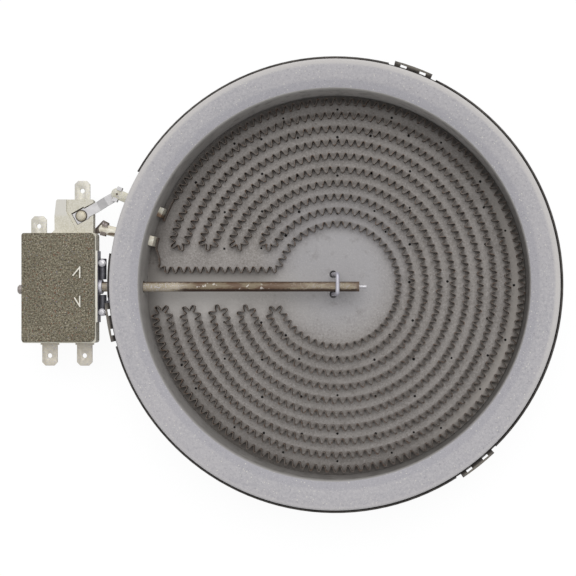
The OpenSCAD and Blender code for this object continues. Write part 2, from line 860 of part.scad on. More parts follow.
pin_step = power_x + blade_t;

module push_pin() {
    color("white")
    translate([rod_start, pin_y, tube_z])
    rotate([0, -90, 0]) {
        cylinder(d = 3, h = rod_start - pin_step);
        cylinder(d = 1.8, h = rod_start - signal_x - blade_t);
    }
}

// a contact spring: upright blade, leg and foot on its tab
module spring(x) {
    box(x, x + blade_t, blade_y0, blade_y1, blade_z0, blade_z1);
    box(x, x + blade_t, blade_y0, blade_y0 + 4, tab_top, blade_z1);
    box(x, x + foot_l, blade_y0 - 1, blade_y0 + 3, tab_top, tab_top + blade_t);
}

module power_spring() {
    color("goldenrod")
    difference() {
        spring(power_x);
        translate([power_x - 1, pin_y, tube_z])
        rotate([0, 90, 0])
        cylinder(d = 2.2, h = 3);
        translate([power_x + rivet_in, low_rivet_y, tab_top - 1])
        cylinder(d = 2.2, h = 3);
    }
}

module signal_spring() {
    color("goldenrod")
    difference() {
        spring(signal_x);
        translate([signal_x + rivet_in, low_rivet_y, tab_top - 1])
        cylinder(d = 2.2, h = 3);
    }
}

module contact_buttons() {
    color("silver")
    for (p = [[power_x + blade_t, arm_power_x], [arm_signal_x, signal_x - 0.2]])
    translate([p[0], 7.4, tube_z - 0.5])
    rotate([0, 90, 0])
    cylinder(d = 2.4, h = p[1] - p[0]);
}

screw_y = -1.7;
screw_z = 19;

module calibration_screw() {
    color("gainsboro")
    translate([body_x0, screw_y, screw_z]) {
        rotate([0, 90, 0])
        cylinder(d = 3, h = arm_signal_x - arm_t - body_x0);
        rotate([0, -90, 0])
        cylinder(d = 3.8, h = 2.6);
        translate([-2.6, 0, 0])
        rotate([0, -90, 0])
        cylinder(d = 3, h = 0.4);
    }
}

pan();
base_insulation();
insulation_ring();
heating_ribbon();
lead_in_upper();
lead_in_lower();
sensor_tube();
expansion_rod();
rod_staple();
tube_collar();
limiter_body();
limiter_cover();
limiter_bracket();
bracket_rivets();
tab_top_left();
tab_top_right();
tab_bottom_left();
tab_bottom_right();
tab_rivets();
strap_rivet();
upper_strap();
lower_strap();
push_pin();
power_spring();
signal_spring();
contact_buttons();
calibration_screw();
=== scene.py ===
"""Radiant surface element: finishes, the fine ribbon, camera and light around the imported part."""

import math

import bmesh
import bpy
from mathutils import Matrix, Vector


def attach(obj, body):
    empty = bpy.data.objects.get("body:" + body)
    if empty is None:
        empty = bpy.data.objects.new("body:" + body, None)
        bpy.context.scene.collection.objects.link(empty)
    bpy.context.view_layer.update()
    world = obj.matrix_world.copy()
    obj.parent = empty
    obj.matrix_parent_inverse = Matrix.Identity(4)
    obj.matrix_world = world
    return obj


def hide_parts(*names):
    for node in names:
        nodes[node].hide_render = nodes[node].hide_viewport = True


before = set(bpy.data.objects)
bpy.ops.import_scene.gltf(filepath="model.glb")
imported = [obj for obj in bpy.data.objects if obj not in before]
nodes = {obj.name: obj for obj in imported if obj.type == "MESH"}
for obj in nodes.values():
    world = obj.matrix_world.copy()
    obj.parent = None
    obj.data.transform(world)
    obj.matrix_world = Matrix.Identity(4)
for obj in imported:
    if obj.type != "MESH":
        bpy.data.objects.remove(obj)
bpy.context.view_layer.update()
MM = 0.001

# sizes of the part, in millimetres and degrees
RING_OUT = 89.3
RING_BACK = 0.8
RING_IN = 77.1
RING_TOP = 31.0
PAN_TOP = 27.0
BASE_TOP = 12.6
TUBE_Y = -0.63
TUBE_Z = 20.5
RIVET_X = -102.4
RIVET_Y = 28.0
LUG_ANGLES = (69.7, -51.2, 189.5)
LUG_Z = 24.0
UPPER_GAP = 15.2
LOWER_GAP = 9.0
RUN_Y = 6.34
LOWER_LEAD_A = 166.4
TURNS = 10
JOIN_R = 2.8
HOOK_R = 3.0
RIBBON_TOP = 15.6

# fitted to the photo: the ribbon's turns and waves, and how far the lugs lean in
TURN_PITCH = 5.51
TURN_R1 = 74.4
BEND_R = TURN_PITCH / 2
HOOK_X = -68.6
COIL_LEAN = 0.8
WAVE_LENGTH = 3.36
WAVE_DEPTH = 2.35
WAVE_FULLNESS = 1.22
RIBBON_T = 0.26
LUG_IN = 1.1

# the photo's side and the camera's focal length in pixels, and the sensor's width in millimetres
PHOTO_SIDE = 576.0
FOCAL_PIXELS = 1178.6
SENSOR = 36.0

# strength at which ground and backdrop are seen as plain white
WHITE = 1.03


def srgb(r, g, b):
    """A colour given as it looks on screen, 0 to 255."""

    def one(v):
        v = v / 255
        return v / 12.92 if v <= 0.04045 else ((v + 0.055) / 1.055) ** 2.4

    return (one(r), one(g), one(b), 1.0)


class Graph:
    """Helpers shared by shader and geometry trees."""

    def __init__(self, tree):
        self.tree = tree

    def add(self, kind, **props):
        node = self.tree.nodes.new(kind)
        for key, value in props.items():
            setattr(node, key, value)
        return node

    def feed(self, socket, value):
        if isinstance(value, bpy.types.NodeSocket):
            self.tree.links.new(value, socket)
        else:
            socket.default_value = value

    def math(self, op, a, b=0.0, clamp=False):
        node = self.add("ShaderNodeMath", operation=op, use_clamp=clamp)
        self.feed(node.inputs[0], a)
        self.feed(node.inputs[1], b)
        return node.outputs[0]

    def times(self, first, *others):
        for other in others:
            first = self.math("MULTIPLY", first, other)
        return first

    def length(self, a, b):
        return self.math("SQRT", self.math("ADD", self.times(a, a), self.times(b, b)))


class Finish(Graph):
    """A procedural finish on Object coordinates, painted layer by layer."""

    def __init__(self, name, roughness, metallic=0.0):
        self.mat = bpy.data.materials.new(name)
        self.mat.use_nodes = True
        super().__init__(self.mat.node_tree)
        self.tree.nodes.clear()
        self.bsdf = self.add("ShaderNodeBsdfPrincipled")
        self.bsdf.inputs["Roughness"].default_value = roughness
        self.bsdf.inputs["Metallic"].default_value = metallic
        out = self.add("ShaderNodeOutputMaterial")
        self.tree.links.new(self.bsdf.outputs["BSDF"], out.inputs["Surface"])
        self.where = self.add("ShaderNodeTexCoord").outputs["Object"]
        split = self.add("ShaderNodeSeparateXYZ")
        self.tree.links.new(self.where, split.inputs[0])
        self.x, self.y, self.z = split.outputs
        self.paint_so_far = None

    # places, as distances from the axis, a point or a plane

    def radius(self):
        return self.length(self.x, self.y)

    def away(self, x, y):
        """Distance in plan from a point given in millimetres."""
        return self.length(self.math("SUBTRACT", self.x, x * MM),
                           self.math("SUBTRACT", self.y, y * MM))

    def off(self, value, at):
        """Distance of a coordinate from a place given in millimetres."""
        return self.math("ABSOLUTE", self.math("SUBTRACT", value, at * MM))

    # patterns

    def stretch(self, sx, sy, sz, turn=0.0):
        node = self.add("ShaderNodeMapping")
        self.feed(node.inputs["Vector"], self.where)
        node.inputs["Rotation"].default_value = (0.0, 0.0, math.radians(turn))
        node.inputs["Scale"].default_value = (sx, sy, sz)
        return node.outputs[0]

    def noise(self, scale, detail=4.0, rough=0.55, at=None):
        node = self.add("ShaderNodeTexNoise")
        self.feed(node.inputs["Vector"], at or self.where)
        node.inputs["Scale"].default_value = scale
        node.inputs["Detail"].default_value = detail
        node.inputs["Roughness"].default_value = rough
        return node.outputs["Fac"]

    def cells(self, scale):
        node = self.add("ShaderNodeTexVoronoi")
        self.feed(node.inputs["Vector"], self.where)
        node.inputs["Scale"].default_value = scale
        return node.outputs["Distance"]

    def fade(self, value, lo, hi, a=0.0, b=1.0):
        """From a at lo to b at hi, and held beyond them."""
        node = self.add("ShaderNodeMapRange", clamp=True)
        self.feed(node.inputs["Value"], value)
        node.inputs["From Min"].default_value = lo
        node.inputs["From Max"].default_value = hi
        node.inputs["To Min"].default_value = a
        node.inputs["To Max"].default_value = b
        return node.outputs[0]

    def span(self, value, lo, hi, a=0.0, b=1.0):
        """The same with lo and hi in millimetres."""
        return self.fade(value, lo * MM, hi * MM, a, b)

    # colour and surface

    def mix(self, fac, a, b):
        """Colours are sockets or tuples of three numbers from 0 to 255."""
        node = self.add("ShaderNodeMix", data_type="RGBA")
        self.feed(node.inputs["Factor"], fac)
        for index, colour in ((6, a), (7, b)):
            self.feed(node.inputs[index], srgb(*colour) if isinstance(colour, tuple) else colour)
        return node.outputs[2]

    def ground(self, fac, a, b):
        self.paint_so_far = self.mix(fac, a, b)

    def paint(self, fac, colour):
        self.paint_so_far = self.mix(fac, self.paint_so_far, colour)

    def rough(self, value):
        self.feed(self.bsdf.inputs["Roughness"], value)

    def bump(self, height, strength, distance):
        node = self.add("ShaderNodeBump")
        node.inputs["Strength"].default_value = strength
        node.inputs["Distance"].default_value = distance
        self.feed(node.inputs["Height"], height)
        self.tree.links.new(node.outputs["Normal"], self.bsdf.inputs["Normal"])

    def done(self):
        self.feed(self.bsdf.inputs["Base Color"], self.paint_so_far)
        return self.mat


def ring_fibre():
    f = Finish("ring_fibre", 0.92)
    r = f.radius()
    f.ground(f.fade(f.noise(45, 3), 0.35, 0.65), (166, 164, 168), (175, 172, 175))
    f.paint(f.fade(f.noise(900, 3), 0.35, 0.65), (183, 180, 182))
    # the face is a shade darker towards its inner edge
    f.paint(f.span(r, 80.8, 79.8, 0, 0.6), (162, 160, 166))
    f.paint(f.fade(f.noise(1900, 2, 0.7), 0.60, 0.68, 0, 0.8), (200, 198, 197))
    chips = f.times(f.fade(f.cells(700), 0.20, 0.12), f.fade(f.noise(130, 1), 0.46, 0.52))
    f.paint(f.times(chips, 0.85), (212, 209, 200))
    f.paint(f.fade(f.noise(1500, 2, 0.6), 0.38, 0.31, 0, 0.7), (146, 143, 149))
    # painted highlight: the shoulder paler all round, most of all towards the top right, where it
    # faces the light
    f.paint(f.span(r, 86.4, 87.6, 0, 0.7), (190, 187, 187))
    across = f.math("ADD", f.y, f.times(f.x, 0.4))
    f.paint(f.times(f.span(r, 85.8, 86.8), f.span(across, -30, 20, 0, 0.7)), (202, 198, 194))
    # a lip and an inner wall with streaks and stains; painted shade, with some grime, darkens the
    # wall towards its foot, painted shade darkens its right, painted light pales it at the top and
    # the left, and the lip has a painted highlight at the top and painted shade at the bottom
    inside = f.span(r, RING_IN - 0.05, RING_IN - 0.15)
    lip_low, lip_high = 28.8, 30.0
    wall = f.times(inside, f.span(f.z, lip_high, lip_low))
    lip = f.times(inside, f.span(f.z, lip_low, lip_high))
    f.paint(inside, (176, 173, 170))
    streak = f.fade(f.noise(150, 3, 0.6, f.stretch(1, 1, 0.25)), 0.3, 0.7)
    f.paint(wall, f.mix(streak, (134, 130, 126), (156, 152, 148)))
    # painted shade, with some grime: the wall darker towards its foot
    f.paint(f.times(inside, f.span(f.z, 24, 14, 0, 0.5)), (104, 99, 94))
    # painted light: the wall paler at the top, less so towards the left
    upper = f.times(f.span(f.y, 0, 60, 0, 0.7), f.span(f.x, -60, -20, 0.3, 1))
    f.paint(f.times(wall, upper), (196, 192, 188))
    f.paint(f.times(f.fade(f.noise(210, 4, 0.7), 0.50, 0.64, 0, 0.4), wall), (92, 87, 82))
    # painted light: the wall paler towards the left
    f.paint(f.times(wall, f.span(f.x, -30, -70, 0, 0.35)), (196, 192, 188))
    # painted shade: the wall darker towards the right, most of all at the lower right
    across = f.math("SUBTRACT", f.x, f.times(f.y, 0.5))
    f.paint(f.times(wall, f.span(across, 20, 70, 0, 0.5)), (98, 94, 90))
    # painted highlight on the lip at the top, painted shade on it at the bottom
    f.paint(f.times(lip, f.span(f.y, 0, 60, 0, 0.8)), (204, 201, 196))
    f.paint(f.times(lip, f.span(f.y, 0, -60, 0, 0.5)), (158, 155, 152))
    # painted shade: a dark gap round the tube where it enters, as the ring has no hole there
    far = f.length(f.math("SUBTRACT", f.y, TUBE_Y * MM), f.math("SUBTRACT", f.z, TUBE_Z * MM))
    hole = f.times(f.span(far, 2.5, 2.3), f.span(f.x, -75.0, -75.5))
    f.paint(f.times(hole, inside), (44, 38, 34))
    f.bump(f.math("ADD", f.noise(1400, 4, 0.7), f.times(f.noise(350, 3), 1.5)), 0.35, 0.0004)
    return f.done()


def base_fibre():
    f = Finish("base_fibre", 0.95)
    r = f.radius()
    f.ground(f.fade(f.noise(60, 4), 0.35, 0.65), (141, 136, 132), (152, 147, 143))
    f.paint(f.fade(f.noise(1100, 3, 0.7), 0.45, 0.65), (164, 159, 155))
    f.paint(f.fade(f.noise(1000, 3, 0.7), 0.45, 0.33, 0, 0.7), (122, 116, 111))
    # paler in the middle, reaching a little further towards +Y
    f.paint(f.span(f.math("ADD", r, f.times(f.y, -0.3)), 31, 14, 0, 0.8), (168, 166, 168))
    f.paint(f.fade(f.noise(1500, 2, 0.7), 0.60, 0.68, 0, 0.6), (184, 180, 178))
    f.paint(f.fade(f.noise(170, 4, 0.7), 0.56, 0.68, 0, 0.3), (112, 107, 103))
    # painted light paling the base round the tube at the left, where the tube's shadow falls;
    # darker towards the wall at the left; painted shade along the wall's foot; painted light paling
    # it again near the wall at its right
    left = f.span(f.x, 0, -50)
    # painted light: paler round and below the tube, where its shadow falls
    f.paint(f.times(left, f.span(f.off(f.y, -4), 13, 6, 0, 0.9)), (186, 182, 178))
    f.paint(f.times(f.span(r, 60, 74.5), left, 0.28), (104, 99, 95))
    # painted shade along the wall's foot, strongest towards -Y
    f.paint(f.times(f.span(r, 70, 76.5), f.span(f.y, -50, 40, 0.75, 0.4)), (88, 83, 78))
    # painted light: paler near the wall at the right
    right = f.times(f.span(f.x, 30, 65), f.span(f.y, 50, 20))
    f.paint(f.times(f.span(r, 68, 73.5), right), (176, 170, 164))
    # painted shade under each turn, moved a little towards +Y, and none in the gap of the turns
    tilt = f.times(f.math("DIVIDE", f.y, r), 0.7 * MM)
    reach = f.math("SUBTRACT", f.away(COIL_LEAN, 0.0), tilt)
    middle = 4.5
    row = f.math("MODULO", f.math("SUBTRACT", (TURN_R1 + middle) * MM, reach), TURN_PITCH * MM)
    under = f.span(f.off(row, middle), 1.0, 0.4, 0, 0.35)
    clear = f.times(f.span(f.off(f.y, 3.1), 15, 14), f.span(f.x, 10, 6))
    under = f.times(under, f.math("SUBTRACT", 1.0, clear))
    f.paint(f.times(under, f.times(f.span(r, 23.5, 24.5), f.span(r, 72.5, 71.5, 0.3, 1))),
            (76, 66, 58))
    # painted shade: a darker strip along the tube's +Y side, between the tube and the ribbon's run
    strip = f.times(f.span(f.off(f.y, 3.6), 3.4, 2.6), f.span(f.x, -22, -32))
    f.paint(f.times(strip, 0.6), (128, 123, 118))
    f.bump(f.math("ADD", f.noise(900, 4, 0.7), f.times(f.noise(240, 3), 1.2)), 0.4, 0.0004)
    return f.done()


def ribbon_alloy():
    f = Finish("ribbon_alloy", 0.6, 0.1)
    side = f.mix(f.fade(f.noise(300, 3), 0.35, 0.65), (96, 87, 80), (118, 108, 100))
    side = f.mix(f.fade(f.noise(900, 2), 0.52, 0.62), side, (106, 82, 66))
    # painted shade: the sides darker towards their foot, where they meet the base
    side = f.mix(f.span(f.z, 14.0, 12.8, 0, 0.7), side, (78, 66, 58))
    top = f.mix(f.fade(f.noise(500, 2), 0.35, 0.65), (88, 80, 73), (114, 105, 98))
    top = f.mix(f.fade(f.noise(700, 2), 0.56, 0.64), top, (100, 78, 62))
    f.ground(f.span(f.z, RIBBON_TOP - 0.45, RIBBON_TOP - 0.1), side, top)
    f.bump(f.noise(2500, 3), 0.25, 0.0002)
    return f.done()


def pin_hole():
    f = Finish("pin_hole", 0.95)
    # painted shade: near black, for the dark inside of each pin hole
    f.ground(f.fade(f.noise(2500, 2), 0.4, 0.6), (6, 5, 5), (20, 16, 14))
    return f.done()


def tube_ceramic():
    f = Finish("tube_ceramic", 0.55)
    along = f.stretch(0.3, 1, 1)
    f.ground(f.fade(f.noise(420, 3, 0.6, along), 0.35, 0.65), (184, 172, 150), (160, 148, 126))
    f.paint(f.fade(f.noise(2200, 2, 0.6), 0.55, 0.63), (196, 192, 196))
    # browned inside the dish from some 15 mm in, with pale flecks left in it
    grown = f.span(f.x, -63, -56, 0.05, 1.0)
    worn = f.span(f.x, -26, -12, 1.0, 0.6)
    f.paint(f.times(f.fade(f.noise(160, 4, 0.65, along), 0.30, 0.46), grown, worn),
            (126, 112, 90))
    f.paint(f.times(f.fade(f.noise(300, 3, 0.7, along), 0.44, 0.53), grown, 0.8, worn),
            (92, 64, 46))
    fleck = f.times(f.fade(f.noise(560, 2, 0.6), 0.62, 0.67), grown)
    f.paint(f.times(fleck, f.span(f.x, -24, -32, 0.2, 1)), (206, 200, 192))
    # painted shade along its lower side and, thinner, along its upper side
    side = f.math("SUBTRACT", f.y, TUBE_Y * MM)
    ragged = f.times(f.math("SUBTRACT", f.noise(700, 3), 0.5), 1.4 * MM)
    edge = f.math("ADD", side, ragged)
    f.paint(f.times(f.span(edge, -0.8, -1.2), 0.9, f.span(f.x, -66, -60)), (54, 36, 27))
    f.paint(f.times(f.span(edge, 1.3, 1.7), 0.85), (78, 60, 48))
    f.paint(f.span(f.x, 8.6, 9.2, 0, 0.8), (104, 84, 70))
    f.bump(f.noise(1300, 3), 0.3, 0.0002)
    return f.done()


def brushed(name, roughness, metallic, grain=(1, 1, 1), turn=0.0):
    """Steel still without its colour: uneven gloss, and a grain along one direction."""
    f = Finish(name, roughness, metallic)
    f.rough(f.fade(f.noise(700, 3), 0.3, 0.7, roughness - 0.08, roughness + 0.12))
    f.bump(f.noise(1800, 3, 0.6, f.stretch(*grain, turn)), 0.2, 0.00015)
    return f


def steel(name, dark, light, roughness, metallic, grain=(1, 1, 1), turn=0.0, spots=None):
    """Steel from dark to light along its grain, with small marks if spots gives their colour."""
    f = brushed(name, roughness, metallic, grain, turn)
    f.ground(f.fade(f.noise(260, 3, 0.6, f.stretch(*grain, turn)), 0.35, 0.65), dark, light)
    if spots:
        f.paint(f.fade(f.noise(1100, 3, 0.6), 0.56, 0.66), spots)
    return f


def pan_sheet():
    f = brushed("pan_sheet", 0.5, 0.45, (1, 1, 0.2))
    f.ground(f.fade(f.noise(240, 3), 0.35, 0.65), (50, 46, 43), (74, 70, 66))
    # painted light: the sheet paler outside the wall, on the lugs
    f.paint(f.span(f.radius(), 89.9, 90.6), (112, 107, 99))
    # darker towards the ends of each lug
    for angle in LUG_ANGLES:
        c, s = math.cos(math.radians(angle)), math.sin(math.radians(angle))
        along = f.math("SUBTRACT", f.times(f.x, -s), f.times(f.y, -c))
        there = f.math("ADD", f.times(f.x, c), f.times(f.y, s))
        f.paint(f.times(f.span(f.math("ABSOLUTE", along), 5.2, 7.2, 0, 0.65),
                        f.span(there, 88, 88.5)), (62, 58, 56))
    f.paint(f.fade(f.noise(900, 3), 0.62, 0.72, 0, 0.5), (110, 100, 90))
    return f.done()


def lead_upper_steel():
    f = Finish("lead_upper_steel", 0.5, 0.3)
    f.ground(f.fade(f.noise(600, 3), 0.35, 0.65), (190, 186, 168), (210, 207, 194))
    f.paint(f.fade(f.noise(1500, 2), 0.58, 0.66), (176, 170, 172))
    # heat-browned where the lead meets the ring inside
    slope = f.math("ADD", f.times(f.x, 0.6), f.y)
    inner = f.times(f.span(f.radius(), 80.0, 78.5), f.span(slope, -12.5, -13.7))
    f.paint(inner, f.mix(f.fade(f.noise(800, 3), 0.35, 0.6), (104, 80, 58), (134, 112, 92)))
    f.bump(f.noise(1500, 3), 0.25, 0.0002)
    return f.done()


def lead_lower_steel():
    f = Finish("lead_lower_steel", 0.5, 0.3)
    along = f.stretch(0.2, 1.0, 1.0, 180 - LOWER_LEAD_A)
    grain = f.noise(900, 3, 0.6, along)
    f.ground(f.fade(grain, 0.38, 0.62), (232, 228, 214), (206, 198, 180))
    streak = f.fade(f.noise(520, 2, 0.6, along), 0.55, 0.63)
    f.paint(f.times(streak, f.span(f.radius(), 88.5, 89.5)), (112, 98, 80))
    f.bump(grain, 0.5, 0.0003)
    return f.done()


def lower_strap_steel():
    f = Finish("lower_strap_steel", 0.5, 0.4)
    f.ground(f.fade(f.noise(420, 3), 0.35, 0.65), (92, 82, 74), (140, 130, 124))
    f.paint(f.fade(f.noise(900, 2), 0.60, 0.68), (170, 160, 160))
    f.paint(f.fade(f.noise(500, 2), 0.36, 0.30), (74, 44, 34))
    f.bump(f.noise(1200, 3), 0.35, 0.0002)
    return f.done()


def steatite():
    f = Finish("steatite", 0.72)
    f.ground(f.fade(f.noise(160, 4), 0.35, 0.65), (198, 193, 176), (208, 204, 190))
    f.paint(f.fade(f.noise(1500, 3), 0.42, 0.62), (214, 210, 198))
    f.paint(f.fade(f.noise(700, 2), 0.36, 0.30, 0, 0.5), (184, 176, 158))
    # painted shade on the sides of the pocket under the upper strap, and a pale face left of it
    sunk = f.times(f.span(f.away(RIVET_X, RIVET_Y), 5.2, 4.6), f.span(f.z, 19.1, 19.0))
    f.paint(f.times(sunk, f.span(f.z, 17.9, 18.0, 0.35, 0.9)), (96, 84, 72))
    patch = f.times(f.span(f.y, 27.5, 28.5), f.span(f.x, -107.8, -108.4),
                    f.span(f.z, 19.5, 19.9))
    f.paint(f.times(patch, 0.8), (212, 209, 202))
    f.bump(f.noise(1300, 4, 0.65), 0.3, 0.0002)
    return f.done()


def cover_board():
    f = Finish("cover_board", 0.85)
    f.ground(f.fade(f.noise(1450, 3, 0.75), 0.42, 0.58), (86, 80, 64), (140, 133, 113))
    f.paint(f.fade(f.noise(1700, 2, 0.7), 0.58, 0.64), (180, 171, 152))
    f.paint(f.fade(f.noise(1500, 2, 0.7), 0.40, 0.34), (54, 48, 42))
    f.paint(f.fade(f.noise(1200, 2, 0.6), 0.63, 0.67), (120, 84, 64))
    f.paint(f.fade(f.noise(1250, 2, 0.6), 0.35, 0.31), (130, 127, 140))
    f.paint(f.fade(f.noise(120, 3), 0.35, 0.65, 0, 0.22), (84, 78, 62))
    f.bump(f.noise(1900, 4, 0.75), 0.6, 0.0004)
    return f.done()


def tab_steel(name, dark, light):
    f = Finish(name, 0.48, 0.25)
    f.ground(f.fade(f.noise(900, 3, 0.6), 0.38, 0.62), dark, light)
    f.paint(f.fade(f.noise(1700, 2, 0.6), 0.58, 0.66), (196, 192, 200))
    f.bump(f.noise(1500, 3), 0.25, 0.00015)
    return f.done()


def bracket_steel():
    f = Finish("bracket_steel", 0.45, 0.4)
    f.ground(f.fade(f.noise(500, 3), 0.35, 0.65), (74, 73, 78), (98, 97, 102))
    # the plate on the body has a painted highlight, pale on top, and a painted reflection, a little
    # bluish, on its face
    plate = f.span(f.x, -94.4, -94.7)
    f.paint(f.times(plate, f.span(f.z, 23.6, 23.9)), (222, 218, 206))
    f.paint(f.times(plate, f.span(f.z, 23.8, 23.6)), (172, 170, 182))
    f.bump(f.noise(1500, 3), 0.2, 0.00015)
    return f.done()


def strap_steel():
    """Strap sheet with painted shade: a dark line round the rivet's head."""
    f = steel("strap_sheet", (190, 188, 188), (204, 202, 202), 0.42, 0.35, (0.3, 1, 1), -30)
    f.paint(f.span(f.away(RIVET_X, RIVET_Y), 2.55, 2.35), (72, 64, 56))
    return f.done()


def rivet_cream():
    """Rivet head, with painted shade darkening its brim."""
    f = brushed("cream_head", 0.45, 0.3)
    f.ground(f.fade(f.noise(260, 3), 0.35, 0.65), (190, 182, 160), (206, 199, 184))
    f.paint(f.span(f.away(RIVET_X, RIVET_Y), 1.8, 2.0, 0, 0.7), (104, 90, 74))
    return f.done()


pale_wire = steel("pale_wire", (188, 186, 196), (212, 210, 216), 0.4, 0.35).done()
bright = steel("bright_steel", (196, 194, 200), (216, 214, 214), 0.38, 0.4,
               spots=(170, 166, 172)).done()
screw_steel = steel("screw_steel", (146, 138, 134), (176, 168, 164), 0.45, 0.4).done()
spring_strip = steel("spring_strip", (170, 130, 78), (196, 158, 104), 0.4, 0.7).done()
weld_mark = steel("weld_mark", (84, 72, 60), (120, 106, 92), 0.6, 0.2).done()
# one tab steel in two copies: the lower tabs' copy is painted lighter, painted light that offsets
# the body's shadow on them
upper_tab = tab_steel("upper_tab", (198, 194, 180), (212, 208, 197))
lower_tab = tab_steel("lower_tab", (208, 200, 184), (218, 211, 197))
ceramic = steatite()
ring_finish = ring_fibre()

FINISHES = {
    "pan": pan_sheet(),
    "base_insulation": base_fibre(),
    "insulation_ring": ring_finish,
    "lead_in_upper": lead_upper_steel(),
    "lead_in_lower": lead_lower_steel(),
    "sensor_tube": tube_ceramic(),
    "expansion_rod": bright,
    "rod_staple": pale_wire,
    "tube_collar": pale_wire,
    "limiter_body": ceramic,
    "limiter_cover": cover_board(),
    "limiter_bracket": bracket_steel(),
    "bracket_rivets": bright,
    "tab_top_left": upper_tab,
    "tab_top_right": upper_tab,
    "tab_bottom_left": lower_tab,
    "tab_bottom_right": lower_tab,
    "tab_rivets": bright,
    "strap_rivet": rivet_cream(),
    "upper_strap": strap_steel(),
    "lower_strap": lower_strap_steel(),
    "push_pin": ceramic,
    "power_spring": spring_strip,
    "signal_spring": spring_strip,
    "contact_buttons": bright,
    "calibration_screw": screw_steel,
    "heating_ribbon": ribbon_alloy(),
}


def dress(node, mat):
    """Give a CAD node a finish in all its material slots."""
    mesh = nodes[node].data
    if not mesh.materials:
        mesh.materials.append(mat)
    for i in range(len(mesh.materials)):
        mesh.materials[i] = mat


for node_name, finish in FINISHES.items():
    dress(node_name, finish)


def mesh_object(name, verts, faces, mat=None, edges=()):
    """An object from vertices in millimetres."""
    mesh = bpy.data.meshes.new(name)
    mesh.from_pydata([tuple(c * MM for c in v) for v in verts], list(edges), faces)
    mesh.update()
    obj = bpy.data.objects.new(name, mesh)
    bpy.context.scene.collection.objects.link(obj)
    if mat:
        mesh.materials.append(mat)
    return obj


def outward(obj):
    """Merge doubles and turn all faces outwards."""
    bm = bmesh.new()
    bm.from_mesh(obj.data)
    bmesh.ops.remove_doubles(bm, verts=bm.verts, dist=1e-7)
    bmesh.ops.recalc_face_normals(bm, faces=bm.faces)
    bm.to_mesh(obj.data)
    bm.free()


def keep(obj, slot, *replaced):
    """A finished piece: rides on the body, and hides what it stands for; its slot is not used."""
    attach(obj, "root")
    if replaced:
        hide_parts(*replaced)
    return obj


def soften(obj, degrees):
    """Smooth shading with sharp edges kept."""
    for face in obj.data.polygons:
        face.use_smooth = True
    obj.data.set_sharp_from_angle(angle=math.radians(degrees))


class Tree(Graph):
    """A Geometry Nodes tree with named inputs."""

    def __init__(self, name, **inputs):
        super().__init__(bpy.data.node_groups.new(name, "GeometryNodeTree"))
        face = self.tree.interface
        face.new_socket("Geometry", in_out="INPUT", socket_type="NodeSocketGeometry")
        for key in inputs:
            face.new_socket(key, in_out="INPUT", socket_type="NodeSocketFloat")
        face.new_socket("Geometry", in_out="OUTPUT", socket_type="NodeSocketGeometry")
        self.values = inputs
        self.start = self.add("NodeGroupInput")
        self.end = self.add("NodeGroupOutput")

    def value(self, key):
        return self.start.outputs[key]

    def finish(self, geometry, mat):
        real = self.add("GeometryNodeRealizeInstances")
        paint = self.add("GeometryNodeSetMaterial")
        paint.inputs["Material"].default_value = mat
        self.feed(real.inputs["Geometry"], geometry)
        self.feed(paint.inputs["Geometry"], real.outputs["Geometry"])
        self.feed(self.end.inputs["Geometry"], paint.outputs["Geometry"])

    def bake(self, source, name):
        """Run the tree on source and return the result as a plain mesh object."""
        mod = source.modifiers.new("nodes", "NODES")
        mod.node_group = self.tree
        for item in self.tree.interface.items_tree:
            if item.in_out == "INPUT" and item.name in self.values:
                mod[item.identifier] = self.values[item.name]
        source.update_tag()
        graph = bpy.context.evaluated_depsgraph_get()
        mesh = bpy.data.meshes.new_from_object(source.evaluated_get(graph), depsgraph=graph)
        source.modifiers.clear()
        old = source.data
        bpy.data.objects.remove(source)
        bpy.data.meshes.remove(old)
        mesh.name = name
        obj = bpy.data.objects.new(name, mesh)
        bpy.context.scene.collection.objects.link(obj)
        return obj


# the ribbon's centre line: the part's path, on the turns fitted to the photo


def turn_r(k):
    return TURN_R1 - (k - 1) * TURN_PITCH


def mid_r(k):
    return turn_r(k) - BEND_R


def gap_a(k):
    """Direction in which turn k bends back: below the gap for odd turns, above it for even."""
    if k % 2:
        return math.degrees(math.asin((LOWER_GAP + BEND_R) / mid_r(k))) - 180
    return 180 - math.degrees(math.asin((UPPER_GAP + BEND_R) / mid_r(k)))


def arc(cx, cy, r, a0, a1, step=0.4):
    n = max(3, int(abs(math.radians(a1 - a0)) * r / step))
    return [(cx + r * math.cos(math.radians(a0 + (a1 - a0) * i / n)),
             cy + r * math.sin(math.radians(a0 + (a1 - a0) * i / n))) for i in range(n + 1)]


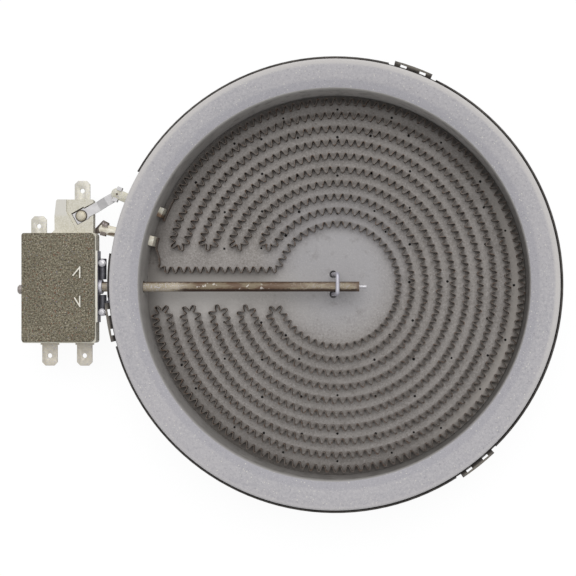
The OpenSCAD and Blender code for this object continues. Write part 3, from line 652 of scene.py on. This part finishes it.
def ribbon_path():
    join_a = 180 - math.degrees(math.asin((RUN_Y + JOIN_R) / (turn_r(TURNS) + JOIN_R)))
    join_x = (turn_r(TURNS) + JOIN_R) * math.cos(math.radians(join_a))
    lead_a, start, fine = 159.5, 152.5, 0.25
    path = arc(0, 0, TURN_R1, lead_a, start)
    for k in range(1, TURNS + 1):
        stop = join_a if k == TURNS else gap_a(k)
        path += arc(0, 0, turn_r(k), start, stop)[1:]
        if k < TURNS:
            cx = mid_r(k) * math.cos(math.radians(stop))
            cy = mid_r(k) * math.sin(math.radians(stop))
            path += arc(cx, cy, BEND_R, stop, stop + (-180 if k % 2 else 180), fine)[1:]
            start = stop
    path += arc(join_x, RUN_Y + JOIN_R, JOIN_R, join_a + 180, 270, fine)[1:]
    run, steps = join_x - HOOK_X, 100
    path += [(join_x - run * i / steps, RUN_Y) for i in range(1, steps + 1)]
    path += arc(HOOK_X, RUN_Y + HOOK_R, HOOK_R, 270, 180, fine)[1:]
    # on from the hook, then across the lower lead along the first turn's circle
    a = math.radians(LOWER_LEAD_A)
    cx, cy = TURN_R1 * math.cos(a), TURN_R1 * math.sin(a)
    tx, ty = math.sin(a), -math.cos(a)
    path += [(HOOK_X - HOOK_R, RUN_Y + HOOK_R + 1.6), (cx - 2.6 * tx, cy - 2.6 * ty),
             (cx + 1.9 * tx, cy + 1.9 * ty)]
    return path


def lean(x):
    """The turns lie a little towards +X of the dish's middle, their ends still at the leads."""
    t = max(0.0, min(1.0, (x + 71) / 26))
    return COIL_LEAN * t * t * (3 - 2 * t)


def coil():
    """The corrugated ribbon: the centre line waved sideways and given the strip's section."""
    sunk = 0.3
    t = Tree("ribbon_wave", wave_length=WAVE_LENGTH * MM, wave_depth=WAVE_DEPTH * MM,
             height=(RIBBON_TOP - BASE_TOP + sunk) * MM, thickness=RIBBON_T * MM,
             flat_start=9.2 * MM, flat_end=10.5 * MM)
    curve = t.add("GeometryNodeMeshToCurve")
    t.feed(curve.inputs["Mesh"], t.start.outputs["Geometry"])
    fine = t.add("GeometryNodeResampleCurve", mode="LENGTH")
    t.feed(fine.inputs["Curve"], curve.outputs["Curve"])
    t.feed(fine.inputs["Length"], t.math("DIVIDE", t.value("wave_length"), 14.0))
    up = t.add("GeometryNodeSetCurveNormal", mode="Z_UP")
    t.feed(up.inputs["Curve"], fine.outputs["Curve"])
    # a sine with flattened crests, fading out towards both flat ends
    where = t.add("GeometryNodeSplineParameter").outputs["Length"]
    total = t.add("GeometryNodeSplineLength").outputs["Length"]
    phase = t.math("DIVIDE", t.times(where, 2 * math.pi), t.value("wave_length"))
    wave = t.times(t.math("SINE", phase), WAVE_FULLNESS)
    wave = t.math("MAXIMUM", t.math("MINIMUM", wave, 1.0), -1.0)
    fade_over = 2 * MM
    rise = t.math("DIVIDE", t.math("SUBTRACT", where, t.value("flat_start")), fade_over, True)
    left = t.math("SUBTRACT", t.math("SUBTRACT", total, where), t.value("flat_end"))
    fall = t.math("DIVIDE", left, fade_over, True)
    size = t.times(wave, t.value("wave_depth"), 0.5, rise, fall)
    tangent = t.add("GeometryNodeInputTangent").outputs[0]
    side = t.add("ShaderNodeVectorMath", operation="CROSS_PRODUCT")
    t.feed(side.inputs[0], tangent)
    side.inputs[1].default_value = (0.0, 0.0, 1.0)
    shift = t.add("ShaderNodeVectorMath", operation="SCALE")
    t.feed(shift.inputs[0], side.outputs[0])
    t.feed(shift.inputs["Scale"], size)
    moved = t.add("GeometryNodeSetPosition")
    t.feed(moved.inputs["Geometry"], up.outputs["Curve"])
    t.feed(moved.inputs["Offset"], shift.outputs[0])
    section = t.add("GeometryNodeCurvePrimitiveQuadrilateral")
    t.feed(section.inputs["Width"], t.value("thickness"))
    t.feed(section.inputs["Height"], t.value("height"))
    strip = t.add("GeometryNodeCurveToMesh")
    strip.inputs["Fill Caps"].default_value = True
    t.feed(strip.inputs["Curve"], moved.outputs["Geometry"])
    t.feed(strip.inputs["Profile Curve"], section.outputs["Curve"])
    t.finish(strip.outputs["Mesh"], FINISHES["heating_ribbon"])
    path = ribbon_path()
    z = (RIBBON_TOP + BASE_TOP - sunk) / 2
    line = mesh_object("ribbon_line", [(x + lean(x), y, z) for x, y in path], [],
                       edges=[(i, i + 1) for i in range(len(path) - 1)])
    obj = t.bake(line, "corrugated_ribbon")
    outward(obj)
    soften(obj, 50)
    return keep(obj, "ribbon_alloy", "heating_ribbon")


coil()

# small holes left by the forming pins, as (radius, angles) round the middle of the turns
PIN_ROWS = [
    (71.4, [0, 18, 36, 54, 72, 90, 108, 126, 144, 207, 216, 234, 252, 270, 288, 306, 324, 342]),
    (67.1, [-116.5, -62.5, -25, 28, 64.5, 117.5]),
    (64.5, [135, -135]),
    (62.1, [-103.5, -75.5, -12.5, 15.5, 77.5, 105]),
    (60.2, [90, -90]),
    (54.8, [124, -124, 147, -147, 57.5, -55, -32.5]),
    (48.5, [162, 198]),
    (47.5, [-108, -71, -17, 73, 110]),
    (44.6, [90, -90, 2]),
    (43.0, [135.5, -135.5, -44, 47]),
    (34.5, [154, 206]),
    (33.7, [117.5, -117.5, 63.5, -63.5, -25, 29.5]),
    (29.2, [136, -136, 90, -90, -43.5, 2.5, 48]),
]


def pin_holes():
    """Dark discs let into the base, standing only just proud of it: painted shade in place of the
    holes' dark insides.
    """
    depth, proud = 0.2, 0.03
    t = Tree("pin_holes", hole_radius=0.52 * MM, hole_depth=depth * MM)
    disc = t.add("GeometryNodeMeshCylinder", fill_type="NGON")
    disc.inputs["Vertices"].default_value = 10
    t.feed(disc.inputs["Radius"], t.value("hole_radius"))
    t.feed(disc.inputs["Depth"], t.value("hole_depth"))
    copies = t.add("GeometryNodeInstanceOnPoints")
    t.feed(copies.inputs["Points"], t.start.outputs["Geometry"])
    t.feed(copies.inputs["Instance"], disc.outputs["Mesh"])
    grow = t.add("FunctionNodeRandomValue", data_type="FLOAT")
    grow.inputs[2].default_value = 0.85
    grow.inputs[3].default_value = 1.15
    grow.inputs["Seed"].default_value = 4
    t.feed(copies.inputs["Scale"], grow.outputs[1])
    t.finish(copies.outputs["Instances"], pin_hole())
    z = BASE_TOP + proud - depth / 2
    spots = [(r * math.cos(math.radians(a)) + COIL_LEAN, r * math.sin(math.radians(a)), z)
             for r, angles in PIN_ROWS for a in angles]
    obj = t.bake(mesh_object("pin_points", spots, []), "pin_holes")
    return keep(obj, "base_fibre")


pin_holes()


def lathe(name, section, mat, steps=288):
    """A closed section, as (radius, height) pairs in millimetres, turned about Z."""
    verts, faces = [], []
    n = len(section)
    for i in range(steps):
        a = 2 * math.pi * i / steps
        verts += [(r * math.cos(a), r * math.sin(a), z) for r, z in section]
    for i in range(steps):
        j = (i + 1) % steps
        for k in range(n):
            m = (k + 1) % n
            faces.append((i * n + k, j * n + k, j * n + m, i * n + m))
    obj = mesh_object(name, verts, faces, mat)
    outward(obj)
    soften(obj, 40)
    return obj


def rim_ring():
    """The ring with a round shoulder and a worn inner lip."""
    out, round_r = RING_OUT - RING_BACK, 1.2
    shoulder = [(out - round_r + round_r * math.sin(math.radians(a)),
                 RING_TOP - round_r + round_r * math.cos(math.radians(a)))
                for a in range(0, 91, 15)]
    inner = [(RING_IN - 0.3, BASE_TOP), (RING_IN - 0.35, 20.0), (RING_IN - 0.5, 26.0),
             (RING_IN - 0.6, RING_TOP - 2.4), (RING_IN - 0.55, RING_TOP - 1.8),
             (RING_IN - 0.35, RING_TOP - 0.7), (RING_IN - 0.2, RING_TOP - 0.15),
             (RING_IN, RING_TOP)]
    outer = [(out, PAN_TOP - 3), (RING_OUT, PAN_TOP - 3), (RING_OUT, 18.0), (RING_OUT, BASE_TOP)]
    return keep(lathe("rim_ring", inner + shoulder + outer, ring_finish), "ring_fibre",
                "insulation_ring")


rim_ring()


def copy_of(node, name):
    """A merged copy of a CAD node's mesh as an object of its own."""
    obj = bpy.data.objects.new(name, nodes[node].data.copy())
    bpy.context.scene.collection.objects.link(obj)
    bm = bmesh.new()
    bm.from_mesh(obj.data)
    bm.transform(nodes[node].matrix_world)
    bmesh.ops.remove_doubles(bm, verts=bm.verts, dist=2e-6)
    bmesh.ops.dissolve_degenerate(bm, edges=bm.edges, dist=1e-6)
    bm.to_mesh(obj.data)
    bm.free()
    return obj


def sheet_pan():
    """The pan with its lugs curled up closer to the ring, as in use."""
    half_lug, curl_height = 5.2, 1.2
    obj = copy_of("pan", "sheet_pan")
    for v in obj.data.vertices:
        x, y, z = (c / MM for c in v.co)
        if z < LUG_Z + 0.02:
            continue
        angle = math.degrees(math.atan2(y, x)) % 360
        if min(abs(angle - a % 360) for a in LUG_ANGLES) > half_lug:
            continue
        r = math.hypot(x, y)
        k = (r - LUG_IN * min(1.0, (z - LUG_Z) / curl_height)) / r
        v.co.x *= k
        v.co.y *= k
    soften(obj, 30)
    return keep(obj, "pan_sheet", "pan")


sheet_pan()


def rounded(node, slot, width, angle=40, segments=2):
    """A CAD node's own form with its sharp edges broken."""
    obj = copy_of(node, node + "_soft")
    bm = bmesh.new()
    bm.from_mesh(obj.data)
    bmesh.ops.dissolve_limit(bm, angle_limit=math.radians(1.5), verts=bm.verts, edges=bm.edges)
    bm.to_mesh(obj.data)
    bm.free()
    mod = obj.modifiers.new("edges", "BEVEL")
    mod.width = width * MM
    mod.segments = segments
    mod.limit_method = "ANGLE"
    mod.angle_limit = math.radians(angle)
    mod.use_clamp_overlap = True
    mod.miter_outer = "MITER_ARC"
    graph = bpy.context.evaluated_depsgraph_get()
    mesh = bpy.data.meshes.new_from_object(obj.evaluated_get(graph), depsgraph=graph)
    obj.modifiers.clear()
    old = obj.data
    obj.data = mesh
    mesh.name = obj.name
    bpy.data.meshes.remove(old)
    # clamped bevels leave edges of no length
    bm = bmesh.new()
    bm.from_mesh(mesh)
    bmesh.ops.remove_doubles(bm, verts=bm.verts, dist=4e-6)
    bmesh.ops.dissolve_degenerate(bm, edges=bm.edges, dist=1e-6)
    bm.to_mesh(mesh)
    bm.free()
    soften(obj, 45)
    return keep(obj, slot, node)


for part, part_slot, edge in (
        ("limiter_cover", "cover_grey", 0.22), ("tab_top_left", "tab_steel", 0.16),
        ("tab_top_right", "tab_steel", 0.16), ("tab_bottom_left", "tab_steel", 0.16),
        ("tab_bottom_right", "tab_steel", 0.16), ("lead_in_upper", "lead_steel", 0.2),
        ("lead_in_lower", "lead_steel", 0.2), ("tube_collar", "staple_wire", 0.25),
        ("calibration_screw", "bright_steel", 0.3), ("bracket_rivets", "bright_steel", 0.25),
        ("strap_rivet", "tab_steel", 0.25)):
    rounded(part, part_slot, edge)


def spot_weld(name, x, y, z, r, mat, slot, sides=16):
    """A small disc let into the sheet, with a raised rim."""
    verts = [(x, y, z)]
    rings = ((r * 0.6, 0.0), (r * 0.85, 0.05), (r, 0.0), (r, -0.2))
    for rad, h in rings:
        verts += [(x + rad * math.cos(math.tau * i / sides),
                   y + rad * math.sin(math.tau * i / sides), z + h) for i in range(sides)]
    faces = [(0, 1 + i, 1 + (i + 1) % sides) for i in range(sides)]
    for ring in range(len(rings) - 1):
        a = 1 + sides * ring
        b = a + sides
        faces += [(a + i, b + i, b + (i + 1) % sides, a + (i + 1) % sides) for i in range(sides)]
    faces.append(tuple(len(verts) - 1 - i for i in range(sides)))
    obj = mesh_object(name, verts, faces, mat)
    outward(obj)
    return keep(obj, slot)


spot_weld("weld_upper", -87.5, 36.55, 20.83, 0.45, weld_mark, "lead_steel")


def largest(g, first, *others):
    for other in others:
        first = g.math("MAXIMUM", first, other)
    return first


def ground():
    """Plain ground: seen as white, and lit as a pale surface by scattered light."""
    size = 1500
    obj = mesh_object("ground", [(-size, -size, -0.05), (size, -size, -0.05),
                                 (size, size, -0.05), (-size, size, -0.05)], [(0, 1, 2, 3)])
    mat = bpy.data.materials.new("ground_white")
    mat.use_nodes = True
    mat.node_tree.nodes.clear()
    g = Graph(mat.node_tree)
    mix = g.add("ShaderNodeMixShader")
    plain = g.add("ShaderNodeBsdfDiffuse")
    plain.inputs["Color"].default_value = (0.9, 0.9, 0.9, 1)
    glow = g.add("ShaderNodeEmission")
    glow.inputs["Strength"].default_value = WHITE
    rays = g.add("ShaderNodeLightPath").outputs
    seen = largest(g, rays["Is Camera Ray"], rays["Is Glossy Ray"], rays["Is Transmission Ray"])
    g.feed(mix.inputs[0], g.times(seen, 0.9))
    g.feed(mix.inputs[1], plain.outputs[0])
    g.feed(mix.inputs[2], glow.outputs[0])
    g.feed(g.add("ShaderNodeOutputMaterial").inputs["Surface"], mix.outputs[0])
    obj.data.materials.append(mat)


ground()


def sky():
    """Soft light all round, and a plain white backdrop."""
    world = bpy.data.worlds.new("studio")
    bpy.context.scene.world = world
    world.use_nodes = True
    world.node_tree.nodes.clear()
    g = Graph(world.node_tree)
    mix = g.add("ShaderNodeMixShader")
    soft = g.add("ShaderNodeBackground")
    soft.inputs["Color"].default_value = (0.97, 0.98, 1.0, 1)
    soft.inputs["Strength"].default_value = 0.5
    white = g.add("ShaderNodeBackground")
    white.inputs["Color"].default_value = (1, 1, 1, 1)
    white.inputs["Strength"].default_value = WHITE
    rays = g.add("ShaderNodeLightPath").outputs
    g.feed(mix.inputs[0], largest(g, rays["Is Camera Ray"], rays["Is Transmission Ray"]))
    g.feed(mix.inputs[1], soft.outputs[0])
    g.feed(mix.inputs[2], white.outputs[0])
    g.feed(g.add("ShaderNodeOutputWorld").inputs["Surface"], mix.outputs[0])


sky()


def lamp(name, direction, strength, angle):
    data = bpy.data.lights.new(name, "SUN")
    data.energy = strength
    data.angle = math.radians(angle)
    obj = bpy.data.objects.new(name, data)
    obj.rotation_euler = Vector(direction).to_track_quat("-Z", "Y").to_euler()
    bpy.context.scene.collection.objects.link(obj)


lamp("key", (-0.12, -0.5, -1.0), 1.75, 56)

# the camera's place and direction in metres and degrees, fitted to the photo
camera_data = bpy.data.cameras.new("camera")
camera_data.sensor_width = SENSOR
camera_data.lens = FOCAL_PIXELS * SENSOR / PHOTO_SIDE
camera_data.shift_x = -0.1091
camera_data.shift_y = 0.0339
camera_data.clip_start = 0.05
camera_data.clip_end = 20.0
camera = bpy.data.objects.new("camera", camera_data)
camera.location = (0.02296, -0.009, 0.4908)
camera.rotation_euler = (0.0, math.radians(2.0), 0.0)
bpy.context.scene.collection.objects.link(camera)
bpy.context.scene.camera = camera
bpy.context.scene.view_settings.view_transform = "Standard"
